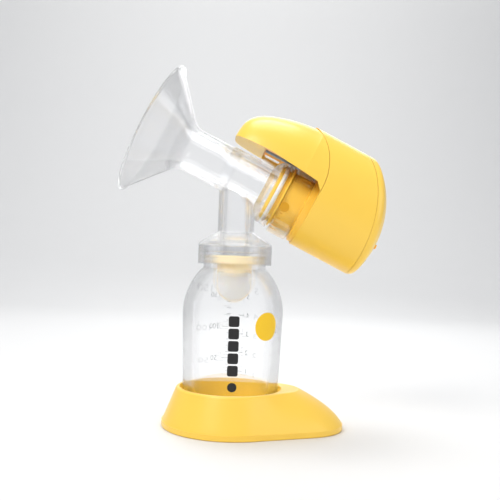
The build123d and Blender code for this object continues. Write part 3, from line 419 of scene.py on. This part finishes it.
# ------------------------------------------------------------------ printed marks
def wrap_on_bottle(piece, angle, height):
    """Lays a flat drawing in the XZ plane round the bottle, its origin at the angle and height."""
    for vertex in piece.data.vertices:
        across, up = vertex.co.x, vertex.co.z
        level = height * MM + up
        radius = bottle_outside(level / MM) * MM + bpy.context.scene.pump_looks.mark_depth + vertex.co.y
        turn = angle + across / radius
        vertex.co = Vector((radius * math.sin(turn), -radius * math.cos(turn), level))


def printed(piece, finish, body):
    cover_with(piece, finish)
    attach(piece, body)


def join_all(pieces, name):
    activate(pieces[0])
    for piece in pieces:
        piece.select_set(True)
    bpy.ops.object.join()
    result = bpy.context.object
    result.name = name
    return result


INK_DEPTH = 0.04 * MM
ROWS = 24                   # a bar is cut into rows and columns so that it follows a curved surface
COLUMNS = 8


def flat_bar(width, height, rounding):
    """Rounded bar in the XZ plane, centred on the origin, thin in Y and fine enough to wrap."""
    deselect_all()
    bpy.ops.mesh.primitive_cube_add(size=1, location=(0, 0, 0))
    bar = bpy.context.object
    bar.scale = (width, INK_DEPTH, height)
    bpy.ops.object.transform_apply(location=False, rotation=False, scale=True)
    bpy.ops.object.mode_set(mode="EDIT")
    bpy.ops.mesh.select_mode(type="EDGE")
    bpy.ops.mesh.select_all(action="DESELECT")
    bpy.ops.object.mode_set(mode="OBJECT")
    for edge in bar.data.edges:
        first, second = (bar.data.vertices[index].co for index in edge.vertices)
        edge.select = abs(first.y - second.y) > INK_DEPTH / 2
    bpy.ops.object.mode_set(mode="EDIT")
    bpy.ops.mesh.bevel(offset=rounding, segments=8, affect="EDGES")
    for cut in range(1, ROWS):
        bpy.ops.mesh.select_all(action="SELECT")
        level = -height / 2 + height * cut / ROWS
        bpy.ops.mesh.bisect(plane_co=(0, 0, level), plane_no=(0, 0, 1))
    for cut in range(1, COLUMNS):
        bpy.ops.mesh.select_all(action="SELECT")
        across = -width / 2 + width * cut / COLUMNS
        bpy.ops.mesh.bisect(plane_co=(across, 0, 0), plane_no=(1, 0, 0))
    bpy.ops.mesh.select_all(action="SELECT")
    bpy.ops.mesh.normals_make_consistent(inside=False)
    bpy.ops.object.mode_set(mode="OBJECT")
    return bar


def numeral(text, size):
    """Numbers of the scale as a thin solid in the XZ plane."""
    deselect_all()
    bpy.ops.object.text_add(location=(0, 0, 0))
    words = bpy.context.object
    words.data.body = text
    words.data.size = size
    words.data.extrude = INK_DEPTH / 2
    words.data.resolution_u = 4
    words.data.align_x = "CENTER"
    words.data.align_y = "CENTER"
    bpy.ops.object.convert(target="MESH")
    words = bpy.context.object
    words.data.transform(Matrix.Rotation(math.radians(90), 4, "X"))
    return words


SCALE_50 = 35.9             # height of the 50 ml mark
ML_HEIGHT = 0.4             # height of one millilitre
OUNCE = 29.57
SCALE_TURN = 180            # the scale stands on the back of the bottle, degrees round from its front
LINE_WIDTH = 0.35
LINE_ROUND = 0.1


class PUMP_OT_scale(bpy.types.Operator):
    """Prints the volume scale on the back of the bottle, so that it shows through the clear front"""
    bl_idname = "pump.scale"
    bl_label = "Volume scale"

    def execute(self, context):
        pieces = []
        for volume in range(30, 151, 10):
            height = SCALE_50 + (volume - 50) * ML_HEIGHT
            long_mark = volume % 50 == 0
            tick = flat_bar((5.0 if long_mark else 2.6) * MM, LINE_WIDTH * MM, LINE_ROUND * MM)
            wrap_on_bottle(tick, math.radians(SCALE_TURN + (7 if long_mark else 4)), height)
            pieces.append(tick)
            if long_mark:
                number = numeral(str(volume), 4.6 * MM)
                wrap_on_bottle(number, math.radians(SCALE_TURN + 22), height)
                pieces.append(number)
        for ounces in range(1, 6):
            height = SCALE_50 + (ounces * OUNCE - 50) * ML_HEIGHT
            tick = flat_bar(3.0 * MM, LINE_WIDTH * MM, LINE_ROUND * MM)
            wrap_on_bottle(tick, math.radians(SCALE_TURN - 12), height)
            number = numeral(str(ounces), 4.2 * MM)
            wrap_on_bottle(number, math.radians(SCALE_TURN - 20), height)
            pieces += [tick, number]
        scale = join_all(pieces, "bottle_scale")
        printed(scale, "print_grey", "bottle")
        return {"FINISHED"}


BLOCK_TURN = math.radians(0.7)
BLOCK_SIZE = 6.0
BLOCK_PITCH = 6.9
TOP_BLOCK = 64.4
DOT_HEIGHT = 27.6
SPOT_TURN = math.radians(40)
SPOT_HEIGHT = 61.5
SPOT_SIZE = 16.0


class PUMP_OT_bottle_marks(bpy.types.Operator):
    """Prints a row of plain black blocks, a dot and a plain yellow spot on the bottle's front"""
    bl_idname = "pump.bottle_marks"
    bl_label = "Plain bottle marks"

    def execute(self, context):
        blocks = []
        for block in range(5):
            bar = flat_bar(BLOCK_SIZE * MM, BLOCK_SIZE * MM, 1.2 * MM)
            wrap_on_bottle(bar, BLOCK_TURN, TOP_BLOCK - BLOCK_PITCH * block)
            blocks.append(bar)
        dot = flat_bar(5.2 * MM, 5.2 * MM, 2.5 * MM)
        wrap_on_bottle(dot, BLOCK_TURN, DOT_HEIGHT)
        black = join_all(blocks + [dot], "bottle_bar")
        printed(black, "print_black", "bottle")
        spot = flat_bar(SPOT_SIZE * MM, SPOT_SIZE * MM, (SPOT_SIZE / 2 - 0.3) * MM)
        wrap_on_bottle(spot, SPOT_TURN, SPOT_HEIGHT)
        spot.name = "bottle_spot"
        printed(spot, "print_yellow", "bottle")
        return {"FINISHED"}


RING_RADIUS = 21.7
RING_PLACE = 91.4           # where the marks stand along the pump axis
DOT_TURN = -17.0
TICK_TURN = -28.0
TICK_PITCH = -9.0


class PUMP_OT_ring_marks(bpy.types.Operator):
    """Marks the vacuum regulator ring with a round dot and a row of plain ticks that grow"""
    bl_idname = "pump.ring_marks"
    bl_label = "Regulator marks"

    def execute(self, context):
        pieces = []
        marks = [(DOT_TURN, 5.6, 5.6, 2.7)]
        marks += [(TICK_TURN + TICK_PITCH * step, 0.7, 1.6 + 0.7 * step, 0.3) for step in range(5)]
        for turn, across, length, rounding in marks:
            mark = flat_bar(across * MM, length * MM, rounding * MM)
            for vertex in mark.data.vertices:
                angle = math.radians(turn) + vertex.co.x / (RING_RADIUS * MM)
                radius = RING_RADIUS * MM + context.scene.pump_looks.mark_depth + vertex.co.y
                centre = RIM_CENTRE + ALONG * (RING_PLACE * MM + vertex.co.z)
                sideways = Vector((0, radius * math.cos(angle), 0))
                vertex.co = centre + SQUARE * radius * math.sin(angle) - sideways
            pieces.append(mark)
        marks = join_all(pieces, "regulator_marks")
        activate(marks)
        bpy.ops.object.mode_set(mode="EDIT")
        bpy.ops.mesh.select_all(action="SELECT")
        bpy.ops.mesh.normals_make_consistent(inside=False)
        bpy.ops.object.mode_set(mode="OBJECT")
        printed(marks, "print_amber", "regulator_ring")
        return {"FINISHED"}


# ------------------------------------------------------------------ studio
CAMERA_TARGET = Vector((0.0089, 0.0, 0.1049))
CAMERA_DISTANCE = 0.4155
CAMERA_AZIMUTH = math.radians(2.26)
CAMERA_RISE = math.radians(0.73)
CAMERA_ROLL = math.radians(2.06)
CAMERA_LENS = 49.87
CAMERA_SENSOR = 36.0
FLOOR_SIZE = 6.0
FLOOR_FORWARD = 1.4         # the floor's middle stands this far in front of the bottle
BACKDROP_HEIGHT = 3.0
BACKDROP_CURVE = 0.8
LIT_POINT = (0.01, 0.0, 0.11)


def area_light(name, location, target, size, power, colour=(1.0, 1.0, 1.0)):
    deselect_all()
    bpy.ops.object.light_add(type="AREA", location=location)
    light = bpy.context.object
    light.name = name
    light.data.shape = "DISK"
    light.data.size = size
    light.data.energy = power
    light.data.color = colour
    light.rotation_euler = (Vector(target) - Vector(location)).to_track_quat("-Z", "Y").to_euler()


class PUMP_OT_stage(bpy.types.Operator):
    """Lays the pale floor, lights it softly and sets the camera"""
    bl_idname = "pump.stage"
    bl_label = "Studio"

    def execute(self, context):
        deselect_all()
        bpy.ops.mesh.primitive_plane_add(size=FLOOR_SIZE, location=(0, -FLOOR_FORWARD, 0))
        floor = context.object
        floor.name = "floor"
        bpy.ops.object.transform_apply(location=True, rotation=False, scale=False)
        bpy.ops.object.mode_set(mode="EDIT")
        bpy.ops.mesh.select_mode(type="EDGE")
        bpy.ops.mesh.select_all(action="DESELECT")
        bpy.ops.object.mode_set(mode="OBJECT")
        for edge in floor.data.edges:
            edge.select = all(floor.data.vertices[index].co.y > 0.5 for index in edge.vertices)
        bpy.ops.object.mode_set(mode="EDIT")
        bpy.ops.mesh.extrude_region_move(TRANSFORM_OT_translate={"value": (0, 0, BACKDROP_HEIGHT)})
        bpy.ops.object.mode_set(mode="OBJECT")
        curve = floor.modifiers.new("backdrop_curve", "BEVEL")
        curve.width = BACKDROP_CURVE
        curve.segments = 24
        bpy.ops.object.shade_smooth()
        look = context.scene.pump_looks
        paper = plastic("floor_paper", tuple(look.floor_colour), 0.7, mottle=0.004, grain=0.02, hairlines=0.0)
        floor.data.materials.append(paper)
        world = bpy.data.worlds.new("studio_world")
        world.use_nodes = True
        background = world.node_tree.nodes["Background"]
        background.inputs["Color"].default_value = (0.93, 0.95, 1.0, 1.0)
        background.inputs["Strength"].default_value = 0.5
        context.scene.world = world
        context.scene.view_settings.view_transform = "Standard"
        area_light("key_light", (-0.45, -0.55, 0.75), LIT_POINT, 0.5, 4.6, (1.0, 0.985, 0.96))
        area_light("fill_light", (0.75, -0.45, 0.35), LIT_POINT, 0.7, 1.7)
        area_light("back_light", (0.15, 0.7, 0.6), LIT_POINT, 0.6, 1.6)
        area_light("top_light", (0.0, 0.05, 0.9), LIT_POINT, 0.5, 1.9)
        area_light("backdrop_light", (0.0, 0.5, 1.5), (0.0, 1.5, 0.3), 0.9, 11.0)
        forward = Vector((math.sin(CAMERA_AZIMUTH) * math.cos(CAMERA_RISE),
                          math.cos(CAMERA_AZIMUTH) * math.cos(CAMERA_RISE), math.sin(CAMERA_RISE)))
        bpy.ops.object.camera_add(location=CAMERA_TARGET - forward * CAMERA_DISTANCE)
        camera = context.object
        level = forward.to_track_quat("-Z", "Y").to_matrix().to_4x4()
        camera.rotation_euler = (level @ Matrix.Rotation(CAMERA_ROLL, 4, "Z")).to_euler()
        camera.data.lens = CAMERA_LENS
        camera.data.sensor_width = CAMERA_SENSOR
        context.scene.camera = camera
        return {"FINISHED"}


# ------------------------------------------------------------------ panel and registration
STEPS = (PUMP_OT_frame_finishes, PUMP_OT_bottle, PUMP_OT_shield, PUMP_OT_scale, PUMP_OT_bottle_marks,
         PUMP_OT_ring_marks, PUMP_OT_stage)


class PUMP_PT_panel(bpy.types.Panel):
    """Lists the settings and the steps that build the looks"""
    bl_label = "Breast Pump"
    bl_idname = "PUMP_PT_panel"
    bl_space_type = "VIEW_3D"
    bl_region_type = "UI"
    bl_category = "Breast Pump"

    def draw(self, context):
        look = context.scene.pump_looks
        for name in ("body_colour", "clear_tint", "mark_depth", "floor_colour"):
            self.layout.prop(look, name)
        for step in STEPS:
            self.layout.operator(step.bl_idname)


CLASSES = (PumpLooks, *STEPS, PUMP_PT_panel)


def register():
    for item in CLASSES:
        bpy.utils.register_class(item)
    bpy.types.Scene.pump_looks = bpy.props.PointerProperty(type=PumpLooks)


def unregister():
    del bpy.types.Scene.pump_looks
    for item in reversed(CLASSES):
        bpy.utils.unregister_class(item)


def main():
    register()
    for step in STEPS:
        group, name = step.bl_idname.split(".")
        getattr(getattr(bpy.ops, group), name)()


if __name__ == "__main__":
    main()
